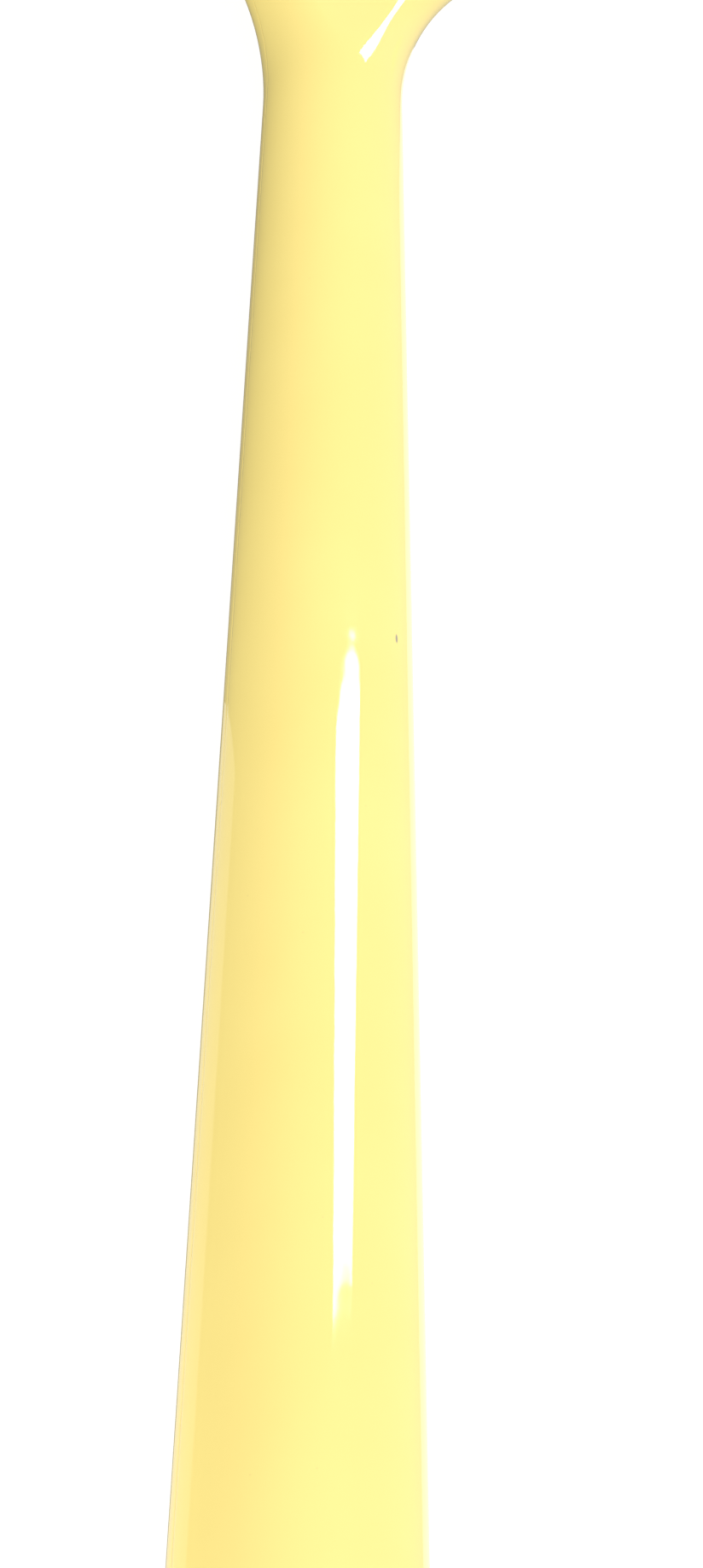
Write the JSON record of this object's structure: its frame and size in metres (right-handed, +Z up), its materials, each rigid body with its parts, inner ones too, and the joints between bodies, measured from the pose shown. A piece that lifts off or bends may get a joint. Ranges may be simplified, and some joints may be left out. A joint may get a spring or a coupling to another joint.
{
  "type": "junior badminton racket",
  "caption": "Small moulded badminton racket: tapered round handle in screwed half shells, oval hoop held in its jaws, woven string bed.",
  "frame": {"origin": "centre of the bottom of the racket's box as it lies on its rear face, touching at the butt cap and the hoop's tip", "axes": "+X across the racket, +Y along it from the butt to the tip of the hoop, +Z up, out of the front of the strings"},
  "size_m": [0.2014, 0.4952, 0.0268],
  "materials": {
    "yellow_plastic": "high-gloss moulded plastic",
    "white_nylon": "smooth drawn nylon string",
    "screw_steel": "plain zinc-plated steel"
  },
  "bodies": {
    "root": {"handle_front_shell": "yellow_plastic", "handle_rear_shell": "yellow_plastic", "hoop": "yellow_plastic", "butt_cap": "yellow_plastic", "main_string": "white_nylon", "cross_string": "white_nylon", "shell_screw_butt": "screw_steel", "shell_screw_middle": "screw_steel", "shell_screw_throat": "screw_steel"}
  },
  "joints": []
}
